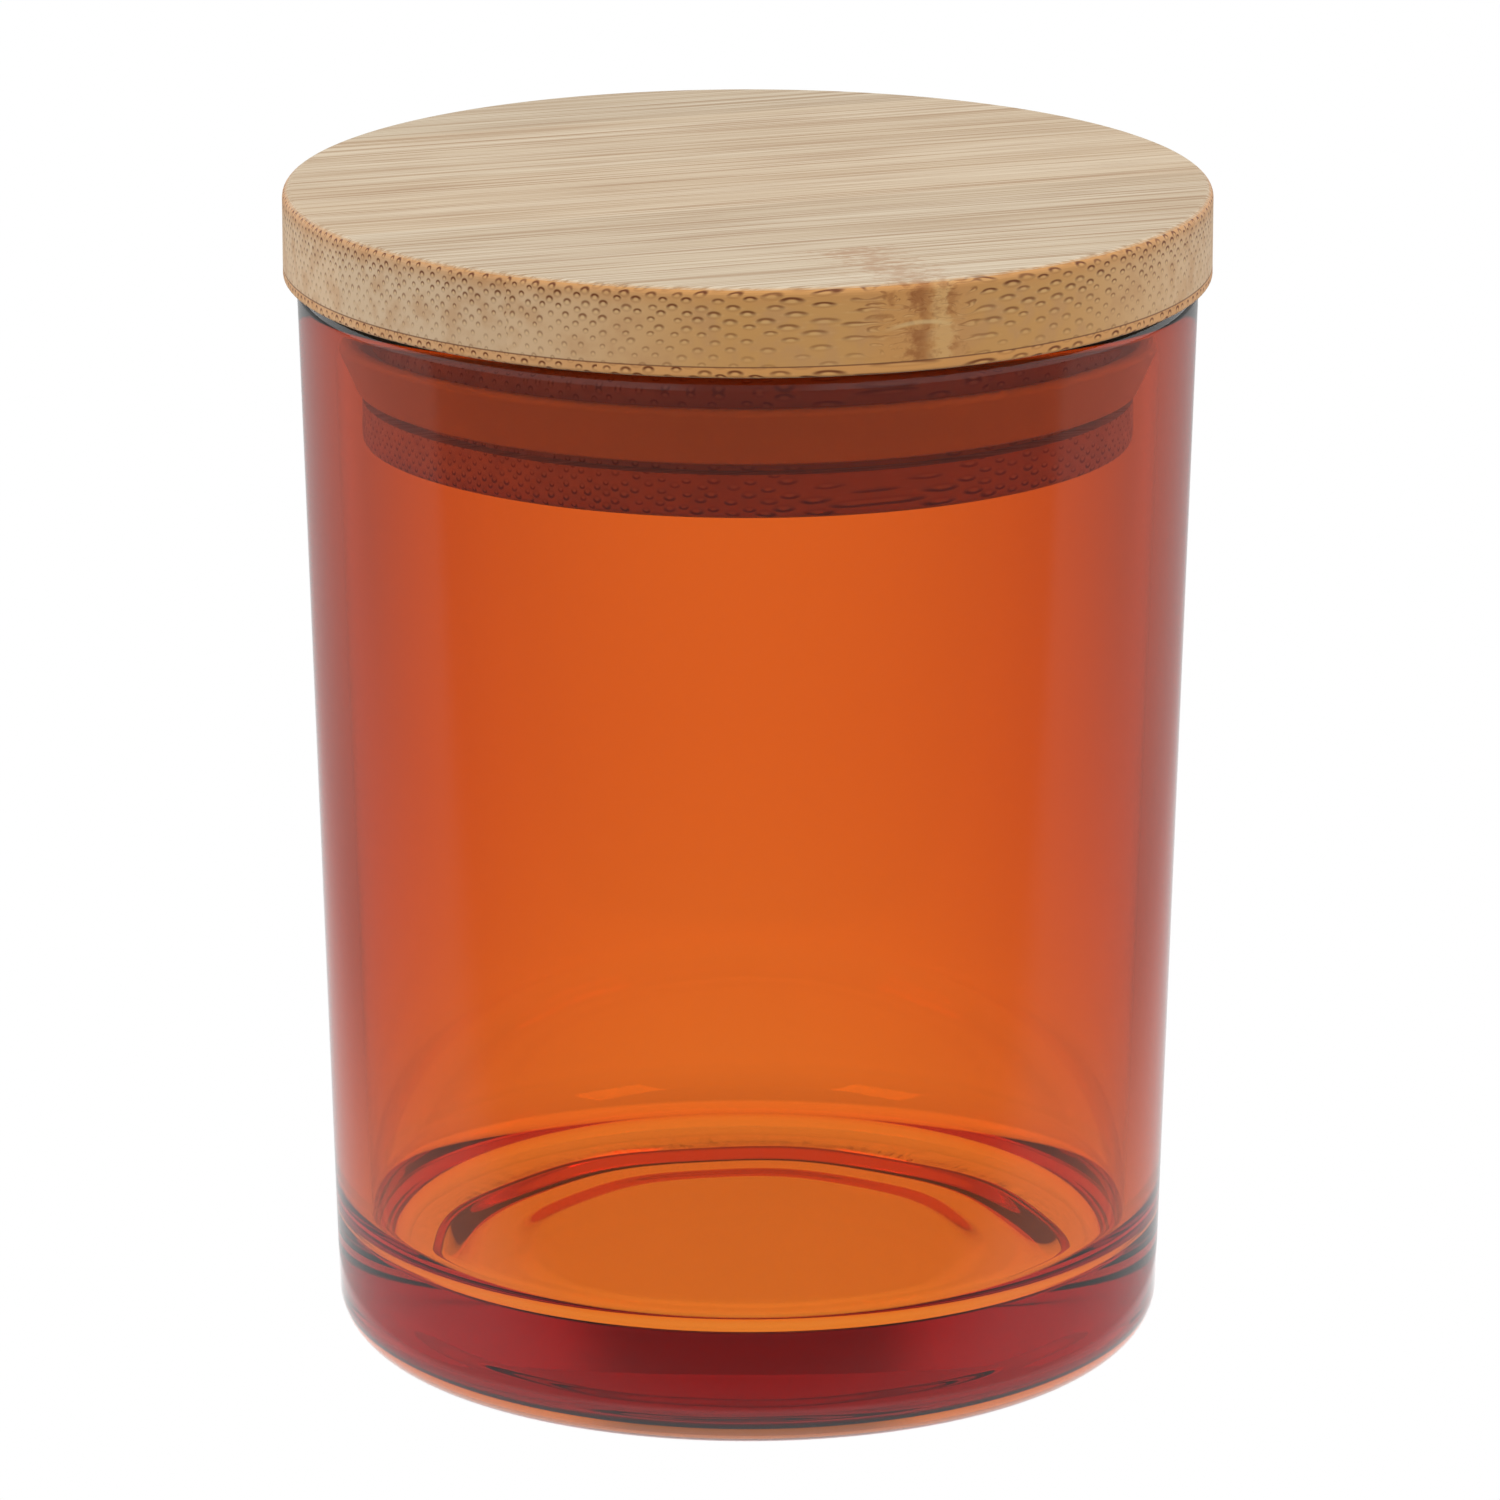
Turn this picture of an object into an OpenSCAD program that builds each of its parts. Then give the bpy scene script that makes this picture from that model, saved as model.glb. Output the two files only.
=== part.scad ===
// Candle jar: a thick-footed pressed glass tumbler, closed by a lid turned from
// laminated bamboo board, with a silicone sealing ring seated in a groove round
// the lid's plug.
// Millimetres. The origin is the centre of the jar's foot, and +Z points up.

/* [Jar] */
// Height of the glass, from the foot to the top of the rim
jar_h = 100; // [90:1:120]
// Outer diameter at the rim
rim_d = 81.6; // [78:0.2:83]
// Outer diameter at the foot, before its corner radius
foot_d = 75.6; // [72:0.2:78]
// Thickness of the side wall
wall_t = 3.2; // [2.8:0.1:3.4]
// Thickness of the base under the inside floor
base_t = 10; // [6:0.5:14]
// Corner radius between the side wall and the underside
foot_r = 4.5; // [2:0.5:6]
// Corner radius between the inner wall and the floor
floor_r = 4.5; // [1:0.5:6]
// Diameter of the shallow hollow in the underside
punt_d = 60; // [40:1:62]
// Depth of that hollow, which leaves a ring to stand on
punt_h = 1.2; // [0.3:0.1:1.5]
// Width of the hollow's sloping edge
punt_slope = 5.5; // [2:0.5:8]
// Diameter of the faint step inside the hollow
step_d = 45; // [30:1:49]
// Rise of that step
step_h = 0.25; // [0.1:0.05:0.5]
// Width of the step's slope
step_slope = 3; // [1:0.5:5]

/* [Lid] */
// Diameter of the lid's disc
lid_d = 84; // [84:0.5:90]
// Thickness of the lid's disc
lid_t = 8; // [6:0.5:10]
// Radius on the disc's top edge
top_edge_r = 0.8; // [0.4:0.1:1.5]
// Radius on the disc's lower edge
low_edge_r = 0.3; // [0.2:0.1:0.5]
// Diameter of the plug that enters the jar
plug_d = 70; // [68:0.5:71]
// Depth of the plug under the disc
plug_h = 14; // [13:0.5:16]
// Radius on the plug's bottom edge
plug_edge_r = 0.6; // [0.3:0.1:1]

/* [Laminations] */
// Angle of the bamboo's grain to the X axis, in degrees
grain_angle = 19; // [0:1:45]
// Width of one bamboo strip
strip_w = 19; // [19:0.5:20]
// Thickness of the bamboo plies, before the faces are turned
ply_t = 7.5; // [7:0.1:8]
// Thickness of the top ply, after sanding
top_ply_t = 7; // [6.4:0.1:7.6]
// Distance of the top ply's first seam in front of the axis
top_seam = 27.6; // [24:0.1:32]
// Distance of the middle ply's first seam in front of the axis
middle_seam = 33.5; // [33:0.1:34]
// Distance of the plug ply's first seam in front of the axis
plug_seam = 22; // [21:0.1:25]

/* [Seal] */
// Depth of the groove in the plug
groove_d = 1.6; // [1:0.1:2]
// Height of the groove
groove_h = 5.2; // [4.5:0.1:6]
// Height of the groove's floor edge above the plug's bottom
groove_z = 4; // [3:0.5:5]
// Gap between the sealing ring and the groove
seal_gap = 0.05; // [0.03:0.01:0.1]
// Height of the open gap under the ring, where the groove shows
heel_gap = 1; // [0.05:0.05:1.5]
// Gap between the ring's lip and the glass
lip_gap = 0.15; // [0.1:0.05:0.3]
// Thickness of the ring's lip at its tip
lip_t = 1; // [0.8:0.1:1.2]
// Height that the lip stands above the ring's band
lip_rise = 1.2; // [0:0.1:1.6]
// Distance of the ring's heel outside the plug
heel_out = 0.6; // [0.3:0.1:0.8]
// Depth of the trough between the band and the lip
trough_h = 1.8; // [1:0.1:2.6]

/* [Hidden] */
$fn = 180;

rim_or = rim_d / 2;
foot_or = foot_d / 2;
lid_or = lid_d / 2;
plug_or = plug_d / 2;

// The wall leans outwards as it rises, by the same angle inside and outside.
lean = (rim_or - foot_or) / jar_h;
rim_r = wall_t / 2;
arc_steps = 10;

lid_z = jar_h;                      // underside of the lid's disc
plug_z = lid_z - plug_h;            // bottom of the plug
top_z = lid_z + lid_t;              // top of the lid
top_ply_z = top_z - top_ply_t;      // glue line under the top ply
middle_ply_z = top_ply_z - ply_t;   // glue line under the middle ply
groove_low = plug_z + groove_z;
groove_high = groove_low + groove_h;
groove_or = plug_or - groove_d;

// A strip is longer than the lid in the board, and so is the block it is cut by.
overshoot = 1;
strip_l = lid_d + 2 * overshoot;

glass_colour = [0.84, 0.33, 0.08, 0.55];
silicone_colour = [0.88, 0.85, 0.79];
top_colour = [0.82, 0.69, 0.53];
middle_colour = [0.80, 0.66, 0.45];
plug_colour = [0.78, 0.63, 0.43];

// Outer and inner radius of the glass at height z.
function glass_or(z) = foot_or + lean * z;
function glass_ir(z) = glass_or(z) - wall_t;

// Points of an arc about [r, z], from angle a to angle b.
function arc(r, z, radius, a, b, steps = arc_steps) =
    [for (i = [0:steps]) let (t = a + (b - a) * i / steps) [r + radius * cos(t), z + radius * sin(t)]];

// The glass jar's half section: underside, outer wall, round rim, inner wall and floor.
function jar_section() = concat(
    [
        [0, punt_h + step_h], [step_d / 2 - step_slope, punt_h + step_h],
        [step_d / 2, punt_h], [punt_d / 2 - punt_slope, punt_h], [punt_d / 2, 0]
    ],
    arc(glass_or(foot_r) - foot_r, foot_r, foot_r, -90, 0),
    arc(glass_or(jar_h - rim_r) - rim_r, jar_h - rim_r, rim_r, 0, 180),
    arc(glass_ir(base_t + floor_r) - floor_r, base_t + floor_r, floor_r, 0, -90),
    [[0, base_t]]
);

// The lid's half section: the plug with its groove, and the disc with its eased edges.
function lid_section() = concat(
    [[0, plug_z]],
    arc(plug_or - plug_edge_r, plug_z + plug_edge_r, plug_edge_r, -90, 0, 4),
    [
        [plug_or, groove_low], [groove_or, groove_low],
        [groove_or, groove_high], [plug_or, groove_high],
        [plug_or, lid_z]
    ],
    arc(lid_or - low_edge_r, lid_z + low_edge_r, low_edge_r, -90, 0, 4),
    arc(lid_or - top_edge_r, top_z - top_edge_r, top_edge_r, 0, 90, 6),
    [[0, top_z]]
);

// The ring's half section: a band that sits in the groove, and a lip that flares up
// and outwards from the band's heel to wipe the glass, with a trough behind it.
band_low = groove_low + heel_gap;
band_high = groove_high - seal_gap;
band_ir = groove_or + seal_gap;
heel_r = 0.4;
heel_or = plug_or + heel_out;
lip_r = lip_t / 2;
lip_z = band_high + lip_rise - lip_r;
lip_or = glass_ir(lip_z) - lip_gap;
lip_slope = atan2(lip_z - band_low, lip_or - heel_or) - 90;
trough_r = 0.25;
trough_z = band_high - trough_h + trough_r;

function seal_section() = concat(
    [[band_ir, band_low]],
    arc(heel_or - heel_r, band_low + heel_r, heel_r, -90, lip_slope, 6),
    arc(lip_or - lip_r, lip_z, lip_r, lip_slope, 170, 8),
    arc(plug_or + 2 * trough_r, trough_z, trough_r, 0, -180, 6),
    [[plug_or, band_high], [band_ir, band_high]]
);

// The whole lid as one turned blank, which the strips are cut from.
module turned_lid() {
    rotate_extrude() polygon(lid_section());
}

// One strip of a ply, from low to high, that runs along the grain. Strips are counted
// from the front; the first and the last run out to the lid's edge.
module strip(index, count, seam, low, high) {
    front = index == 0 ? -strip_l / 2 : -seam + (index - 1) * strip_w;
    back = index == count - 1 ? strip_l / 2 : -seam + index * strip_w;
    intersection() {
        turned_lid();
        rotate(grain_angle)
            translate([-strip_l / 2, front, low])
                cube([strip_l, back - front, high - low]);
    }
}

module glass_jar() {
    color(glass_colour) rotate_extrude() polygon(jar_section());
}

module seal_ring() {
    color(silicone_colour) rotate_extrude() polygon(seal_section());
}

module top_strip(index) {
    color(top_colour) strip(index, 5, top_seam, top_ply_z, top_z + overshoot);
}

module middle_strip(index) {
    color(middle_colour) strip(index, 5, middle_seam, middle_ply_z, top_ply_z);
}

module plug_strip(index) {
    color(plug_colour) strip(index, 4, plug_seam, plug_z - overshoot, middle_ply_z);
}

glass_jar();
seal_ring();
top_strip(0);  // top_strip_1
top_strip(1);  // top_strip_2
top_strip(2);  // top_strip_3
top_strip(3);  // top_strip_4
top_strip(4);  // top_strip_5
middle_strip(0);  // middle_strip_1
middle_strip(1);  // middle_strip_2
middle_strip(2);  // middle_strip_3
middle_strip(3);  // middle_strip_4
middle_strip(4);  // middle_strip_5
plug_strip(0);  // plug_strip_1
plug_strip(1);  // plug_strip_2
plug_strip(2);  // plug_strip_3
plug_strip(3);  // plug_strip_4
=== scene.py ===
"""Looks for the empty candle jar: amber glass, a silicone sealing ring and a laminated bamboo lid."""

import math

import bpy
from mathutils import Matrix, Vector


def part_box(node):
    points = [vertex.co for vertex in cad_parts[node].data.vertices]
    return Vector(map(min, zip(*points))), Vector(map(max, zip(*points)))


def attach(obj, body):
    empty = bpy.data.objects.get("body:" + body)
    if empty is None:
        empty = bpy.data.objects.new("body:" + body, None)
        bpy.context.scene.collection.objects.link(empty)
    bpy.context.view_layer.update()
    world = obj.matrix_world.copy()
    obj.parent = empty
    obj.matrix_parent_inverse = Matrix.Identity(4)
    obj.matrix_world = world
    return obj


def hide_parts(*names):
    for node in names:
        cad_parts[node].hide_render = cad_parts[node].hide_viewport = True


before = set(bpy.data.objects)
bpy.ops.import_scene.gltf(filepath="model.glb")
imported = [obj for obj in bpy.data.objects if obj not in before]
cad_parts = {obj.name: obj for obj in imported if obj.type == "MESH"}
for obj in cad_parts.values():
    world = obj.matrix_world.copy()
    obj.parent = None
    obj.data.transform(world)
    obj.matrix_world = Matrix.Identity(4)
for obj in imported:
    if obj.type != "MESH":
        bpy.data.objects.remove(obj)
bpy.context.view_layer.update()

MM = 0.001

# Heights that the frame gives, in metres.
JAR_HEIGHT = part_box("glass_jar")[1].z
LID_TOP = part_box("top_strip_3")[1].z
TOP_PLY_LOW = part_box("top_strip_3")[0].z
MIDDLE_PLY_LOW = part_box("middle_strip_3")[0].z
PLUG_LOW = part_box("plug_strip_3")[0].z

# The glass's section.
FOOT_RADIUS = 37.8 * MM
RIM_RADIUS = 40.8 * MM
WALL = 3.2 * MM
BASE = 10 * MM
FOOT_CORNER = 4.5 * MM
FLOOR_CORNER = 4.5 * MM

# The hollow under the foot: its slope, a crisp lip that takes a share of its depth, and a faint step inside.
PUNT_RADIUS = 30 * MM
PUNT_DEPTH = 1.2 * MM
PUNT_SLOPE = 5.5 * MM
PUNT_LIP_SHARE = 0.32
PUNT_LIP_WIDTH = 1.0 * MM
STEP_RADIUS = 22.5 * MM
STEP_WIDTH = 3 * MM
STEP_RISE = 0.25 * MM

# How far the hollow's edge strays from a circle, in quick lobes and in slower ones.
WAVE = 0.28 * MM
WAVE_LOBES = 9
WAVE_SLOW_LOBES = 3
WAVE_SLOW_SHARE = 0.5
WAVE_SLOW_PHASE = 1
WAVE_REACH = 3 * MM

# How finely the glass is turned, and how near the axis a point counts as being on it.
ON_AXIS = 1e-9
SEGMENTS = 288
UNDER_STEPS = 180
CORNER_STEPS = 18
WALL_STEPS = 40
RIM_STEPS = 12
FLOOR_STEPS = 10

# The lacquer: how deep under the glass's skin it starts, how thick it is, and the share of that it has low on
# the wall and under the foot.
FILM_TOP = 0.02 * MM
FILM_THICKNESS = 0.15 * MM
FILM_LOW, FILM_UNDER = 0.76, 0.6
FILM_FULL_HEIGHT = 0.5 * JAR_HEIGHT

# What the clear materials are made of. A density is per metre.
GLASS_IOR = 1.51
GLASS_TINT = (0.35, 0.55, 0.5, 1)
GLASS_TINT_DENSITY = 12.0
FILM_COLOUR = (0.961, 0.627, 0.013, 1)
FILM_DENSITY = 19000
WHITE = (1, 1, 1, 1)

# The bamboo's grain runs along this direction, anticlockwise from X.
GRAIN_ANGLE = math.radians(19)

# The floor's painted light, as it is no lamp: its glow straight behind the jar, aside from that, far behind
# and under the jar, and how white it is where it only catches other light.
FLOOR_GLOW = 0.71
FLOOR_GLOW_SIDE = 0.25
GLOW_REACH = 0.135
FADE_FRONT, FADE_BACK = -0.063, -0.03
FAR_FRONT, FAR_BACK, FAR_GLOW = 0.42, 0.6, 0.3
UNDER_GLOW = 0.98
UNDER_REACH = (0.044, 0.049)
FLOOR_WHITE = 0.235
FLOOR_ROUGHNESS = 0.9
FLOOR_HALF = 3.0

# The room round it: brightness in front and behind, and how grey cards low in the middle dim it.
ROOM_TURN = (-0.5, 0.3)
ROOM_FRONT, ROOM_BACK = 0.7, 1.05
CARD = 0.56
CARD_SIDES = (0.18, 0.34)
BESIDE_CARD = 1.15
CARD_TOP = (0.45, 0.7)

# The lamps, in metres and watts. Each softbox is square.
OVERHEAD_PLACE, OVERHEAD_TARGET = (0.0, -0.1, 0.9), (0, 0, 0.1)
OVERHEAD_SIZE, OVERHEAD_POWER = 0.7, 0.6
SOFTBOX_ASIDE, SOFTBOX_FRONT, SOFTBOX_HEIGHT = 0.6, -0.5, 0.72
SOFTBOX_TARGET = (0, 0, 0.09)
SOFTBOX_SIZE, SOFTBOX_POWER = 0.4, 2.6

# The photograph's viewpoint.
CAMERA_PITCH = math.radians(15.74)
CAMERA_DISTANCE = 0.893
CAMERA_TARGET_HEIGHT = 0.0549
CAMERA_LENS = 233.7
CAMERA_SENSOR = 36
CAMERA_SHIFT = 0.0015
CAMERA_CLIP = 0.05


# ---------------------------------------------------------------- node helper


class Shader:
    """A node tree, built by short calls. An input is a value, or another node's output."""

    def __init__(self, owner, output="ShaderNodeOutputMaterial"):
        self.owner = owner
        owner.use_nodes = True
        self.tree = owner.node_tree
        self.tree.nodes.clear()
        self.output = self.tree.nodes.new(output)

    def link(self, value, socket):
        if isinstance(value, bpy.types.NodeSocket):
            self.tree.links.new(value, socket)
        elif value is not None:
            socket.default_value = value

    def node(self, kind, out=0, inputs=(), **props):
        made = self.tree.nodes.new(kind)
        for key, value in props.items():
            setattr(made, key, value)
        for key, value in dict(inputs).items():
            self.link(value, made.inputs[key])
        return made.outputs[out]

    def math(self, operation, a, b=None, c=None):
        made = self.tree.nodes.new("ShaderNodeMath")
        made.operation = operation
        for value, socket in zip((a, b, c), made.inputs):
            self.link(value, socket)
        return made.outputs[0]

    def times(self, a, b):
        return self.math("MULTIPLY", a, b)

    def distance(self, a, b):
        """How far one value is from another."""
        return self.math("ABSOLUTE", self.math("SUBTRACT", a, b))

    def vector(self, operation, a, b=None, scale=None, out=0):
        made = self.tree.nodes.new("ShaderNodeVectorMath")
        made.operation = operation
        self.link(a, made.inputs[0])
        self.link(b, made.inputs[1])
        if scale is not None:
            self.link(scale, made.inputs["Scale"])
        return made.outputs[out]

    def ramp(self, value, low, high, to_low=0.0, to_high=1.0):
        """value's range low..high, carried softly to to_low..to_high and held beyond its ends."""
        limits = {"From Min": low, "From Max": high, "To Min": to_low, "To Max": to_high}
        return self.node(
            "ShaderNodeMapRange", "Result", {"Value": value, **limits}, interpolation_type="SMOOTHSTEP"
        )

    def mix(self, factor, a, b, blend="MIX"):
        made = self.tree.nodes.new("ShaderNodeMix")
        made.data_type = "RGBA"
        made.blend_type = blend
        self.link(factor, made.inputs["Factor"])
        self.link(a, made.inputs["A"])
        self.link(b, made.inputs["B"])
        return made.outputs["Result"]

    def paint(self, ground, layers):
        """Lays colours over the ground in turn, each given as (where it is, how strong it is, colour)."""
        for where, strength, colour in layers:
            ground = self.mix(self.times(where, strength), ground, colour)
        return ground

    def separate(self, vector):
        made = self.tree.nodes.new("ShaderNodeSeparateXYZ")
        self.link(vector, made.inputs[0])
        return made.outputs["X"], made.outputs["Y"], made.outputs["Z"]

    def combine(self, x=0.0, y=0.0, z=0.0):
        return self.node("ShaderNodeCombineXYZ", inputs={"X": x, "Y": y, "Z": z})

    def scaled(self, place, scales, shift=0.0):
        """A place stretched along each axis, and shifted along the last."""
        x, y, z = place
        return self.combine(
            self.times(x, scales[0]), self.times(y, scales[1]), self.math("MULTIPLY_ADD", z, scales[2], shift)
        )

    def noise(self, vector, scale, detail=2.0, roughness=0.5, out="Fac"):
        inputs = {"Vector": vector, "Scale": scale, "Detail": detail, "Roughness": roughness}
        return self.node("ShaderNodeTexNoise", out, inputs)

    def drift(self, vector):
        """A soft random departure in three directions, half of it either way."""
        cloud = self.noise(vector, 1.0, detail=1.0, out="Color")
        return self.separate(self.vector("SUBTRACT", cloud, (0.5, 0.5, 0.5)))

    def principled(self, inputs):
        return self.node("ShaderNodeBsdfPrincipled", inputs=inputs)

    def finish(self, surface):
        """Makes this the tree's surface, and gives back the material or world."""
        self.link(surface, self.output.inputs["Surface"])
        return self.owner


def new_shader(name):
    return Shader(bpy.data.materials.new(name))


def linear(red, green, blue):
    """A colour given as 0 to 255 display values, as the linear RGBA that a shader takes."""
    def one(value):
        value /= 255
        return value / 12.92 if value <= 0.04045 else ((value + 0.055) / 1.055) ** 2.4
    return (one(red), one(green), one(blue), 1.0)


# ---------------------------------------------------------------- glass and silicone


def clear_material(name, index, colour, density):
    """A smooth clear body of this refractive index, which absorbs as light crosses it."""
    shader = new_shader(name)
    volume = shader.node("ShaderNodeVolumeAbsorption", inputs={"Color": colour, "Density": density})
    shader.link(volume, shader.output.inputs["Volume"])
    return shader.finish(shader.principled(
        {"Base Color": WHITE, "Roughness": 0.0, "IOR": index, "Transmission Weight": 1.0}
    ))


def clear_glass():
    """Clear soda glass, with the faint tint that shows only through a long way of it."""
    return clear_material("clear_glass", GLASS_IOR, GLASS_TINT, GLASS_TINT_DENSITY)


def amber_film():
    """The amber lacquer. It lies just inside the glass's skin, and tints light without bending it."""
    return clear_material("amber_film", 1.0, FILM_COLOUR, FILM_DENSITY)


SILICONE_DULL, SILICONE_BRIGHT = linear(238, 234, 224), linear(244, 241, 233)
SILICONE_CLOUD_SCALE = 160.0
SILICONE_ROUGHNESS = 0.42
SILICONE_DEPTH_SHARE = 0.3
SILICONE_DEPTH = (1.2 * MM, 1.0 * MM, 0.8 * MM)


def silicone():
    """Milky translucent silicone with a satin skin."""
    shader = new_shader("silicone")
    place = shader.node("ShaderNodeTexCoord", out="Object")
    cloud = shader.noise(place, SILICONE_CLOUD_SCALE, detail=3.0)
    return shader.finish(shader.principled({
        "Base Color": shader.mix(cloud, SILICONE_DULL, SILICONE_BRIGHT),
        "Roughness": SILICONE_ROUGHNESS,
        "Subsurface Weight": SILICONE_DEPTH_SHARE,
        "Subsurface Radius": SILICONE_DEPTH,
        "Subsurface Scale": 1.0,
    }))


# ---------------------------------------------------------------- bamboo
# Lengths here are in millimetres. A bracket holds what a ramp takes: from, to, and its results there.

# Fibre bundles: how far apart they are in a row and from a row to the next but one, half their size, and how
# unevenly they lie. Depth is stretched by ROW_SPREAD, and by ROW_SPREAD_LOSS less for each millimetre of it.
BUNDLE_PITCH = 1.06
BUNDLE_DROP = 1.2
BUNDLE_HALF_WIDTH = 0.27
BUNDLE_HALF_HEIGHT = 0.39
BUNDLE_SCATTER = 0.34
BUNDLE_SEED_SHIFT = 0.37
ROW_SPREAD, ROW_SPREAD_LOSS = 1.1, 0.022

# A bundle's size and darkness, by its depth and by chance.
SIZE_BY_DEPTH = (0.5, 6.5, 0.98, 0.74)
SIZE_BY_CHANCE = (0, 1, 0.85, 1.15)
DARK_BY_DEPTH = (0.3, 7.0, 1.0, 0.4)
DARK_BY_CHANCE = (0.0, 0.5, 0.7, 1.0)

# A bundle's dark ring, which is strongest on one side, and its light heart, in shares of its half size.
RING_INNER = (0.2, 0.6)
RING_OUTER = (0.7, 1.1, 1.0, 0.0)
RING_CAP = (-0.7, 0.7, 1.0, 0.2)
HEART_FADE = (0.2, 1.0, 0.8, 0.0)
HEART_WIDTH, HEART_HEIGHT = 0.62, 1.7

# The knuckle in the front strip: where it is along the grain, how its plane leans across the strip, how its
# crease wobbles, and how far it bends the fibres across and in depth.
KNUCKLE_U = -3.8
KNUCKLE_LEAN = 0.125
KNUCKLE_WOBBLE = 4.0
KNUCKLE_BEND_V, KNUCKLE_BEND_DEPTH = 5.0, 2.2
KNUCKLE_NEAR = (2.0, 7.0, 1.0, 0.0)
KNUCKLE_CORE = (0.8, 4.2, 1.0, 0.0)
SWIRL_SCALES = (0.35, 0.35, 1.0)

# Its flecks: the blotches they are cut from, and how these grow towards its core and the skin.
BLOTCH_SCALES, BLOTCH_SHIFT = (0.6, 1.3, 0.75), 11.0
BLOTCH_DETAIL, BLOTCH_ROUGHNESS = 3.0, 0.62
FLECK_LEVEL, FLECK_CORE_GAIN = 0.61, -0.12
FLECK_SKIN_GAIN = (0.0, 3.0, 0.06, 0.0)
FLECK_EDGE = (-0.05, 0.14)

# Its pale scar, an arc that starts this deep, then its crease and the pale band beside that.
SCAR_DEPTH, SCAR_BOW = 3.6, 0.05
SCAR_EDGE = (0.05, 0.3, 0.8, 0.0)
CREASE_EDGE = (0.1, 1.1, 1.0, 0.0)
BAND_ASIDE = 1.9
BAND_EDGE = (0.5, 1.6, 1.0, 0.0)

# How fast patterns change along the grain, across it and up.
WANDER_SCALES, WANDER_SEED_SHIFT = (0.05, 0.10, 0.12), 7.3
WANDER_DEPTH = 0.8
BAND_SCALES = (0.010, 0.22, 1.0)
STREAK_SCALES = (0.013, 2.6, 2.6)
FINE_SCALES = (0.05, 5.0, 5.0)
MOTTLE_SCALE = 0.45

# Where the top's and the side's colours change.
FLAT_FACE = (0.6, 0.97)
BAND_CHANGE = (0.35, 0.65)
STREAK_CHANGE = (0.46, 0.66)
FINE_CHANGE = (0.46, 0.7, 0.0, 0.85)
# The end grain's paleness is partly painted sheen.
END_GRAIN_AND_SHEEN_CHANGE = (0.3, 1.0)
MOTTLE_CHANGE = (0.42, 0.7, 0.0, 0.5)
SKIN_CHANGE = (0.2, 2.2, 0.62, 0.0)
CAP_CHANGE = (0.5, 4.0)
GLUE_EDGE = (0.03, 0.1, 1.0, 0.0)
GLUE_STRENGTH = 0.75

# The surface's relief and sheen.
FINE_RELIEF, BUNDLE_RELIEF = 0.4, -0.6
BUMP_STRENGTH, BUMP_HEIGHT = 0.25, 0.05 * MM
ROUGHNESS_BY_STREAK = (0.3, 0.7, 0.46, 0.58)
SPECULAR = 0.4

TOP_PALE = linear(200, 183, 157)
TOP_WARM = linear(194, 175, 147)
TOP_STREAK = linear(156, 126, 94)
SIDE_LONG = linear(200, 148, 86)
# Pale end grain, partly the wood's own colour and partly painted sheen.
SIDE_END_GRAIN_AND_SHEEN = linear(218, 190, 156)
SIDE_MOTTLE = linear(190, 142, 96)
SIDE_HEART = linear(230, 194, 134)
SIDE_SKIN = linear(200, 140, 78)
SIDE_CAP_SKIN = linear(108, 54, 18)
SIDE_CAP = linear(118, 66, 26)
KNUCKLE_BROWN = linear(146, 84, 38)
KNUCKLE_FLECK = linear(158, 116, 80)
KNUCKLE_SCAR = linear(222, 188, 132)
GLUE = linear(104, 60, 34)

# How many strips each ply has, how light it is, the height of its skin and the number its seeds count from.
# Its strips differ a little in lightness and in warmth.
PLY_STRIPS = {"top_strip": 5, "middle_strip": 5, "plug_strip": 4}
PLY_TONE = {"top_strip": 0.97, "middle_strip": 1.1, "plug_strip": 1.0}
PLY_SKIN = {"top_strip": LID_TOP, "middle_strip": TOP_PLY_LOW, "plug_strip": PLUG_LOW}
PLY_SEED = {"top_strip": 90, "middle_strip": 120, "plug_strip": 100}
TONE_RANGE, TONE_TURN = 0.03, 2.1
WARM_RANGE, WARM_TURN = 0.02, 1.3
KNUCKLE_STRIP = "top_strip_1"


def along_grain(shader):
    """The place in millimetres: along the grain, across it, and up."""
    place = shader.node("ShaderNodeTexCoord", out="Object")
    grain = shader.node(
        "ShaderNodeVectorRotate", inputs={"Vector": place, "Angle": -GRAIN_ANGLE}, rotation_type="Z_AXIS"
    )
    return shader.separate(shader.vector("SCALE", grain, scale=1 / MM))


def bundle_lattice(shader, v, depth, seed):
    """The nearest bundle in a staggered lattice: how far off it is along both diagonals, and two chances."""
    across = shader.math("MULTIPLY_ADD", v, 1 / BUNDLE_PITCH, seed * BUNDLE_SEED_SHIFT)
    spread = shader.math("MULTIPLY_ADD", depth, -ROW_SPREAD_LOSS, ROW_SPREAD)
    down = shader.times(shader.times(depth, spread), 1 / BUNDLE_DROP)
    lattice = shader.combine(shader.math("ADD", across, down), shader.math("SUBTRACT", across, down))
    voronoi = shader.tree.nodes.new("ShaderNodeTexVoronoi")
    voronoi.voronoi_dimensions = "2D"
    voronoi.inputs["Scale"].default_value = 1.0
    voronoi.inputs["Randomness"].default_value = BUNDLE_SCATTER
    shader.link(lattice, voronoi.inputs["Vector"])
    first, second, _ = shader.separate(shader.vector("SUBTRACT", lattice, voronoi.outputs["Position"]))
    chance, other_chance, _ = shader.separate(voronoi.outputs["Color"])
    return first, second, chance, other_chance


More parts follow.
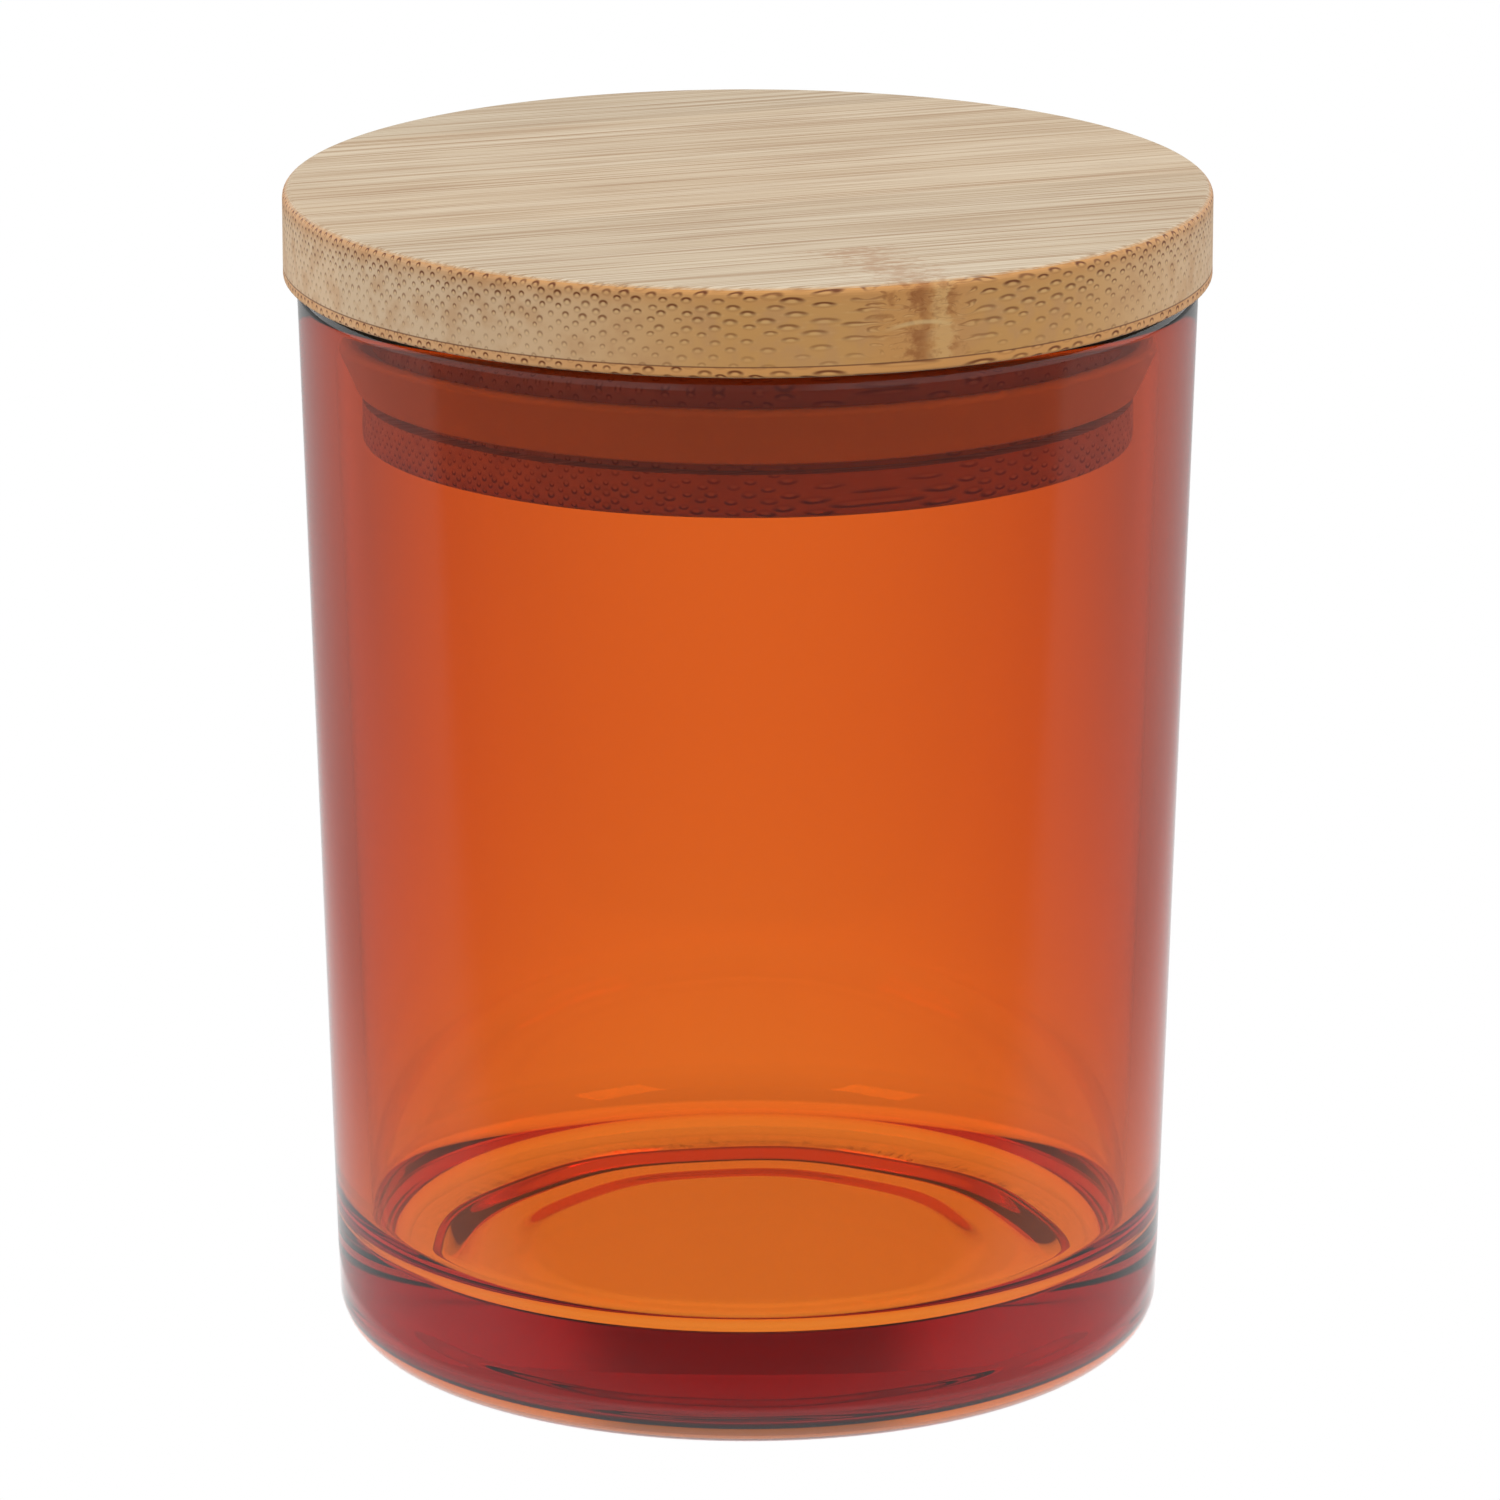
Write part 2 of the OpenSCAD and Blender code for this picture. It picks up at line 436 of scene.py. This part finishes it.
def bundles(shader, v, depth, seed):
    """Bundles cut across, as (dark caps, light heart). Away from the skin they are smaller and fainter."""
    first, second, chance, other_chance = bundle_lattice(shader, v, depth, seed)
    size = shader.times(shader.ramp(depth, *SIZE_BY_DEPTH), shader.ramp(chance, *SIZE_BY_CHANCE))
    wide = shader.times(shader.math("ADD", first, second), 0.5 * BUNDLE_PITCH / BUNDLE_HALF_WIDTH)
    high = shader.times(shader.math("SUBTRACT", first, second), 0.5 * BUNDLE_DROP / BUNDLE_HALF_HEIGHT)
    spot = shader.vector("DIVIDE", shader.combine(wide, high), shader.combine(size, size, 1.0))
    aside, above, _ = shader.separate(spot)
    away = shader.vector("LENGTH", spot, out="Value")

    strength = shader.times(shader.ramp(depth, *DARK_BY_DEPTH), shader.ramp(other_chance, *DARK_BY_CHANCE))
    # The small number keeps the division whole in the middle of a bundle.
    cap = shader.math("DIVIDE", above, shader.math("ADD", away, 0.05))
    ring = shader.times(shader.ramp(away, *RING_INNER), shader.ramp(away, *RING_OUTER))
    dark = shader.times(shader.times(ring, shader.ramp(cap, *RING_CAP)), strength)
    oval = shader.combine(shader.times(aside, HEART_WIDTH), shader.times(above, HEART_HEIGHT))
    fringe = shader.vector("LENGTH", oval, out="Value")
    heart = shader.times(shader.ramp(fringe, *HEART_FADE), strength)
    return dark, heart


def knuckle_marks(shader, u, v, depth):
    """A culm's knuckle: where it is, its brown flecks, pale scar and crease, and the pale band beside it."""
    along = shader.math("SUBTRACT", u, shader.math("MULTIPLY_ADD", v, -KNUCKLE_LEAN, KNUCKLE_U))
    off = shader.math("ABSOLUTE", along)
    near = shader.ramp(off, *KNUCKLE_NEAR)
    core = shader.ramp(off, *KNUCKLE_CORE)

    place = shader.scaled((u, v, depth), BLOTCH_SCALES, BLOTCH_SHIFT)
    blotch = shader.noise(place, 1.0, BLOTCH_DETAIL, BLOTCH_ROUGHNESS)
    level = shader.math("MULTIPLY_ADD", core, FLECK_CORE_GAIN, FLECK_LEVEL)
    level = shader.math("SUBTRACT", level, shader.ramp(depth, *FLECK_SKIN_GAIN))
    fleck = shader.ramp(shader.math("SUBTRACT", blotch, level), *FLECK_EDGE)

    bow = shader.math("MULTIPLY_ADD", shader.times(along, along), SCAR_BOW, SCAR_DEPTH)
    scar = shader.ramp(shader.distance(depth, bow), *SCAR_EDGE)
    bent = shader.math("MULTIPLY_ADD", shader.math("SUBTRACT", blotch, 0.5), KNUCKLE_WOBBLE, along)
    return {
        "near": near,
        "fleck": shader.times(fleck, near),
        "scar": shader.times(scar, core),
        "crease": shader.ramp(shader.math("ABSOLUTE", bent), *CREASE_EDGE),
        "beside": shader.ramp(shader.distance(bent, BAND_ASIDE), *BAND_EDGE),
    }


def fibre_place(shader, u, v, z, depth, seed, marks):
    """Where a fibre would be if it ran straight, as (across, depth). It wanders, and swirls at a knuckle."""
    wander_v, wander_z, _ = shader.drift(
        shader.scaled((u, v, z), WANDER_SCALES, seed * WANDER_SEED_SHIFT)
    )
    if marks:
        turn_v, turn_z, _ = shader.drift(shader.scaled((u, v, depth), SWIRL_SCALES))
        bend_v = shader.times(marks["near"], KNUCKLE_BEND_V)
        bend_depth = shader.times(marks["near"], KNUCKLE_BEND_DEPTH)
        v = shader.math("MULTIPLY_ADD", turn_v, bend_v, v)
        depth = shader.math("MULTIPLY_ADD", turn_z, bend_depth, depth)
    return shader.math("ADD", wander_v, v), shader.math("MULTIPLY_ADD", wander_z, WANDER_DEPTH, depth)


def top_look(shader, band, streak, fine, dark, marks):
    """Faces along the plies, pale and streaked."""
    ground = shader.mix(shader.ramp(band, *BAND_CHANGE), TOP_PALE, TOP_WARM)
    layers = [
        (shader.ramp(streak, *STREAK_CHANGE), 1.0, TOP_STREAK),
        (shader.ramp(fine, *FINE_CHANGE), 1.0, TOP_STREAK),
        (dark, 0.15, TOP_STREAK),
    ]
    if marks:
        layers.append((marks["fleck"], 0.6, KNUCKLE_FLECK))
    return shader.paint(ground, layers)


def side_look(shader, end_grain_and_sheen, mottle, depth, dark, heart, marks):
    """Cut sides, with the bundles' caps and hearts. The end grain is paler than the long grain, partly in its
    own colour and partly as painted sheen on the faces at the lid's left and right.
    """
    ground = shader.mix(shader.ramp(end_grain_and_sheen, *END_GRAIN_AND_SHEEN_CHANGE), SIDE_LONG, SIDE_END_GRAIN_AND_SHEEN)
    cap_colour = shader.mix(shader.ramp(depth, *CAP_CHANGE), SIDE_CAP_SKIN, SIDE_CAP)
    layers = [
        (shader.ramp(mottle, *MOTTLE_CHANGE), 1.0, SIDE_MOTTLE),
        (heart, 0.5, SIDE_HEART),
        (shader.ramp(depth, *SKIN_CHANGE), 1.0, SIDE_SKIN),
        (dark, 1.0, cap_colour),
    ]
    if marks:
        layers += [
            (marks["near"], 0.5, SIDE_SKIN),
            (marks["beside"], 0.3, SIDE_HEART),
            (marks["fleck"], 0.5, KNUCKLE_BROWN),
            (marks["crease"], 0.5, KNUCKLE_BROWN),
            (marks["scar"], 0.7, KNUCKLE_SCAR),
        ]
    return shader.paint(ground, layers)


def glue_lines(shader, z):
    """The two levels where one ply is glued to the next."""
    top = shader.distance(z, TOP_PLY_LOW / MM)
    middle = shader.distance(z, MIDDLE_PLY_LOW / MM)
    return shader.ramp(shader.math("MINIMUM", top, middle), *GLUE_EDGE)


def bamboo(name, seed, skin_height, tone, knuckle):
    """Bamboo cut from one culm strip, whose fibre bundles run along the grain from a skin at skin_height.

    The pattern is solid. Ends cut across the grain show bundles as dots, and faces along it show streaks."""
    shader = new_shader(name)
    u, v, z = along_grain(shader)
    depth = shader.distance(z, skin_height / MM)
    marks = knuckle_marks(shader, u, v, depth) if knuckle else None
    dark, heart = bundles(shader, *fibre_place(shader, u, v, z, depth, seed, marks), seed)
    band = shader.noise(shader.scaled((u, v, z), BAND_SCALES, seed), 1.0)
    streak = shader.noise(shader.scaled((u, v, z), STREAK_SCALES), 1.0, 3.0, 0.7)
    fine = shader.noise(shader.scaled((u, v, z), FINE_SCALES), 1.0)
    mottle = shader.noise(shader.combine(u, v, z), MOTTLE_SCALE, 3.0)

    normal = shader.node("ShaderNodeTexCoord", out="Normal")
    flatness = shader.math("ABSOLUTE", shader.separate(normal)[2])
    grain = (math.cos(GRAIN_ANGLE), math.sin(GRAIN_ANGLE), 0.0)
    # Faces that look along the grain, at the lid's left and right: paler end grain, partly painted sheen.
    end_grain_and_sheen = shader.math("ABSOLUTE", shader.vector("DOT_PRODUCT", normal, grain, out="Value"))
    side = side_look(shader, end_grain_and_sheen, mottle, depth, dark, heart, marks)
    top = top_look(shader, band, streak, fine, dark, marks)
    colour = shader.mix(shader.ramp(flatness, *FLAT_FACE), side, top)
    colour = shader.paint(colour, [(glue_lines(shader, z), GLUE_STRENGTH, GLUE)])
    colour = shader.mix(1.0, colour, (*tone, 1.0), blend="MULTIPLY")

    relief = shader.math("ADD", shader.times(fine, FINE_RELIEF), shader.times(dark, BUNDLE_RELIEF))
    bump = {"Strength": BUMP_STRENGTH, "Distance": BUMP_HEIGHT, "Height": relief}
    return shader.finish(shader.principled({
        "Base Color": colour,
        "Roughness": shader.ramp(streak, *ROUGHNESS_BY_STREAK),
        "Normal": shader.node("ShaderNodeBump", inputs=bump),
        "Specular IOR Level": SPECULAR,
    }))


def dress(name, material):
    """Gives a CAD node this material."""
    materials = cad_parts[name].data.materials
    materials.clear()
    materials.append(material)


def dress_strips():
    """Each strip has its own bamboo, so no two show the same pattern."""
    for ply, count in PLY_STRIPS.items():
        for index in range(1, count + 1):
            name = f"{ply}_{index}"
            seed = PLY_SEED[ply] + index
            tone = PLY_TONE[ply] + TONE_RANGE * math.sin(seed * TONE_TURN)
            warm = WARM_RANGE * math.sin(seed * WARM_TURN)
            tones = (tone, tone - warm, tone - 2 * warm)
            dress(name, bamboo(f"bamboo_{name}", seed, PLY_SKIN[ply], tones, name == KNUCKLE_STRIP))


# ---------------------------------------------------------------- turned glass


def arc(radius, height, size, start, end, steps):
    """Points of an arc about (radius, height), from angle start to angle end in degrees."""
    angles = [math.radians(start + (end - start) * i / steps) for i in range(steps + 1)]
    return [(radius + size * math.cos(a), height + size * math.sin(a)) for a in angles]


def line(start, end, steps):
    """Points between start and end, without the two themselves."""
    return [
        tuple(start[k] + (end[k] - start[k]) * i / steps for k in (0, 1))
        for i in range(1, steps)
    ]


def eased(value):
    """0 to 1 with a soft start and end, held beyond them."""
    value = min(max(value, 0.0), 1.0)
    return value * value * (3 - 2 * value)


def wave(radius, height, angle):
    """The hollow under the foot isn't quite round. This is how far a point there moves outwards."""
    near = eased((PUNT_RADIUS + WAVE_REACH - radius) / WAVE_REACH) * eased(radius / PUNT_RADIUS)
    low = eased(1 - height / FOOT_CORNER)
    slow = WAVE_SLOW_SHARE * math.sin(WAVE_SLOW_LOBES * angle + WAVE_SLOW_PHASE)
    return WAVE * near * low * (math.cos(WAVE_LOBES * angle) + slow)


def turned_ring(verts, radius, height):
    """Adds one ring of a turned shape, or a point on the axis, and gives back its vertices' numbers."""
    start = len(verts)
    if radius < ON_AXIS:
        verts.append((0, 0, height))
        return [start]
    for i in range(SEGMENTS):
        angle = 2 * math.pi * i / SEGMENTS
        reach = radius + wave(radius, height, angle)
        verts.append((reach * math.cos(angle), reach * math.sin(angle), height))
    return list(range(start, len(verts)))


def turn(name, outline, material):
    """Turns an outline of (radius, height) points about Z. It starts and ends on the axis."""
    verts, faces = [], []
    rings = [turned_ring(verts, radius, height) for radius, height in outline]
    for low, high in zip(rings, rings[1:]):
        for i in range(SEGMENTS):
            j = (i + 1) % SEGMENTS
            if len(low) == 1:
                faces.append((low[0], high[j], high[i]))
            elif len(high) == 1:
                faces.append((low[i], low[j], high[0]))
            else:
                faces.append((low[i], low[j], high[j], high[i]))
    mesh = bpy.data.meshes.new(name)
    mesh.from_pydata(verts, [], faces)
    mesh.validate()
    piece = bpy.data.objects.new(name, mesh)
    bpy.context.scene.collection.objects.link(piece)
    mesh.materials.append(material)
    mesh.shade_smooth()
    return piece


def outer_radius(height):
    return FOOT_RADIUS + (RIM_RADIUS - FOOT_RADIUS) * height / JAR_HEIGHT


def underside(radius):
    """Height of the hollow under the foot: a crisp lip at its edge, a slope, and a faint step further in."""
    inwards = PUNT_RADIUS - radius
    lip = PUNT_LIP_SHARE * eased(inwards / PUNT_LIP_WIDTH)
    hollow = PUNT_DEPTH * (lip + (1 - PUNT_LIP_SHARE) * eased(inwards / PUNT_SLOPE))
    return hollow + STEP_RISE * eased((STEP_RADIUS - radius) / STEP_WIDTH)


def rim_arc(start, end):
    """Part of the half-round rim, from angle start to angle end in degrees."""
    size = WALL / 2
    height = JAR_HEIGHT - size
    return arc(outer_radius(height) - size, height, size, start, end, RIM_STEPS)


def outside():
    """The tumbler's outside, from the middle of its underside to the top of its rim."""
    under = [(r, underside(r)) for r in (PUNT_RADIUS * i / UNDER_STEPS for i in range(UNDER_STEPS + 1))]
    foot = arc(outer_radius(FOOT_CORNER) - FOOT_CORNER, FOOT_CORNER, FOOT_CORNER, -90, 0, CORNER_STEPS)
    top = rim_arc(0, 90)
    return under + foot + line(foot[-1], top[0], WALL_STEPS) + top


def inside():
    """The tumbler's inside, from the top of its rim to the middle of its floor."""
    top = rim_arc(90, 180)
    height = BASE + FLOOR_CORNER
    corner = arc(outer_radius(height) - WALL - FLOOR_CORNER, height, FLOOR_CORNER, 0, -90, CORNER_STEPS)
    floor = line(corner[-1], (0, BASE), FLOOR_STEPS) + [(0, BASE)]
    return top[1:] + line(top[-1], corner[0], WALL_STEPS) + corner + floor


def film_depth(radius, height):
    """How deep the lacquer reaches: thinner low on the wall, and thinnest under the foot."""
    wall = FILM_LOW + (1 - FILM_LOW) * eased(height / FILM_FULL_HEIGHT)
    share = wall + (FILM_UNDER - wall) * eased((FOOT_RADIUS - radius) / FOOT_CORNER)
    return FILM_TOP + FILM_THICKNESS * share


def set_in(outline, depth):
    """The outline moved towards the glass, by depth(radius, height) at each of its points."""
    moved = []
    for i, (radius, height) in enumerate(outline):
        before = outline[max(i - 1, 0)]
        after = outline[min(i + 1, len(outline) - 1)]
        along = Vector((after[0] - before[0], after[1] - before[1])).normalized()
        distance = depth(radius, height)
        moved.append((max(radius - along.y * distance, 0.0), height + along.x * distance))
    return moved


def make_tumbler():
    """The pressed tumbler, and the film of lacquer that lies in its outer skin."""
    outline = outside()
    tumbler = turn("glass_tumbler", outline + inside(), clear_glass())
    skin = set_in(outline, lambda radius, height: FILM_TOP)
    under_skin = set_in(outline, film_depth)
    film = turn("amber_film", skin + under_skin[::-1], amber_film())
    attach(tumbler, "jar")
    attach(film, "jar")
    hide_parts("glass_jar")


# ---------------------------------------------------------------- stage, lights and camera


def floor_glow(shader):
    """How brightly the floor's painted glow shines: a painted pool of light under the jar, then straight
    behind it, and none in front.
    """
    place = shader.node("ShaderNodeTexCoord", out="Object")
    x, y, _ = shader.separate(place)
    aside = shader.ramp(shader.math("ABSOLUTE", x), 0.0, GLOW_REACH, FLOOR_GLOW, FLOOR_GLOW_SIDE)
    behind = shader.times(aside, shader.ramp(y, FADE_FRONT, FADE_BACK))
    behind = shader.times(behind, shader.ramp(y, FAR_FRONT, FAR_BACK, 1.0, FAR_GLOW))
    spot = shader.vector("LENGTH", shader.combine(x, y), out="Value")
    return shader.math("MAXIMUM", behind, shader.ramp(spot, *UNDER_REACH, UNDER_GLOW, 0.0))


def pale_floor():
    """A grey floor with a painted glow, which is plain white where the camera sees it directly."""
    shader = new_shader("pale_floor")
    lit = shader.principled({
        "Base Color": (FLOOR_WHITE, FLOOR_WHITE, FLOOR_WHITE, 1),
        "Roughness": FLOOR_ROUGHNESS,
        "Specular IOR Level": 0.0,
        "Emission Color": WHITE,
        # Painted light: the floor glows most under the jar and straight behind it.
        "Emission Strength": floor_glow(shader),
    })
    white = shader.node("ShaderNodeEmission", inputs={"Color": WHITE, "Strength": 1.0})
    seen = shader.node("ShaderNodeLightPath", out="Is Camera Ray")
    return shader.finish(shader.node("ShaderNodeMixShader", inputs={0: seen, 1: lit, 2: white}))


def make_stage():
    mesh = bpy.data.meshes.new("floor")
    half = FLOOR_HALF
    corners = [(-half, -half, 0), (half, -half, 0), (half, half, 0), (-half, half, 0)]
    mesh.from_pydata(corners, [], [(0, 1, 2, 3)])
    floor = bpy.data.objects.new("floor", mesh)
    mesh.materials.append(pale_floor())
    bpy.context.scene.collection.objects.link(floor)


def make_world():
    """A white backdrop behind and overhead, a greyer room in front, and grey cards low in their middle."""
    shader = Shader(bpy.data.worlds.new("studio"), "ShaderNodeOutputWorld")
    x, y, z = shader.separate(shader.node("ShaderNodeTexCoord", out="Generated"))
    room = shader.ramp(y, *ROOM_TURN, ROOM_FRONT, ROOM_BACK)
    beside = shader.ramp(shader.math("ABSOLUTE", x), *CARD_SIDES, CARD, BESIDE_CARD)
    above = shader.ramp(z, *CARD_TOP, CARD, 1.0)
    strength = shader.times(room, shader.math("MAXIMUM", beside, above))
    backdrop = shader.node("ShaderNodeBackground", inputs={"Color": WHITE, "Strength": strength})
    bpy.context.scene.world = shader.finish(backdrop)


def soft_light(name, place, target, size, power):
    lamp = bpy.data.lights.new(name, "AREA")
    lamp.shape = "RECTANGLE"
    lamp.size = size
    lamp.size_y = size
    lamp.energy = power
    holder = bpy.data.objects.new(name, lamp)
    holder.location = place
    holder.rotation_euler = (Vector(target) - Vector(place)).to_track_quat("-Z", "Y").to_euler()
    bpy.context.scene.collection.objects.link(holder)
    return holder


def make_lights():
    """One lamp overhead and one high at each side. The glass doesn't mirror the two at the sides."""
    soft_light("overhead_softbox", OVERHEAD_PLACE, OVERHEAD_TARGET, OVERHEAD_SIZE, OVERHEAD_POWER)
    for name, side in (("left_softbox", -1), ("right_softbox", 1)):
        place = (side * SOFTBOX_ASIDE, SOFTBOX_FRONT, SOFTBOX_HEIGHT)
        softbox = soft_light(name, place, SOFTBOX_TARGET, SOFTBOX_SIZE, SOFTBOX_POWER)
        softbox.visible_glossy = False


def make_camera():
    lens = bpy.data.cameras.new("camera")
    lens.sensor_width = CAMERA_SENSOR
    lens.lens = CAMERA_LENS
    lens.shift_x = CAMERA_SHIFT
    lens.clip_start = CAMERA_CLIP
    camera = bpy.data.objects.new("camera", lens)
    camera.location = (
        0,
        -CAMERA_DISTANCE * math.cos(CAMERA_PITCH),
        CAMERA_TARGET_HEIGHT + CAMERA_DISTANCE * math.sin(CAMERA_PITCH),
    )
    camera.rotation_euler = (math.pi / 2 - CAMERA_PITCH, 0, 0)
    bpy.context.scene.collection.objects.link(camera)
    bpy.context.scene.camera = camera


scene = bpy.context.scene
scene.view_settings.view_transform = "Standard"
scene.cycles.use_denoising = True
scene.cycles.max_bounces = 24
scene.cycles.transmission_bounces = 24
scene.cycles.sample_clamp_indirect = 6

make_camera()
make_stage()
make_world()
make_lights()
make_tumbler()
dress("seal_ring", silicone())
dress_strips()
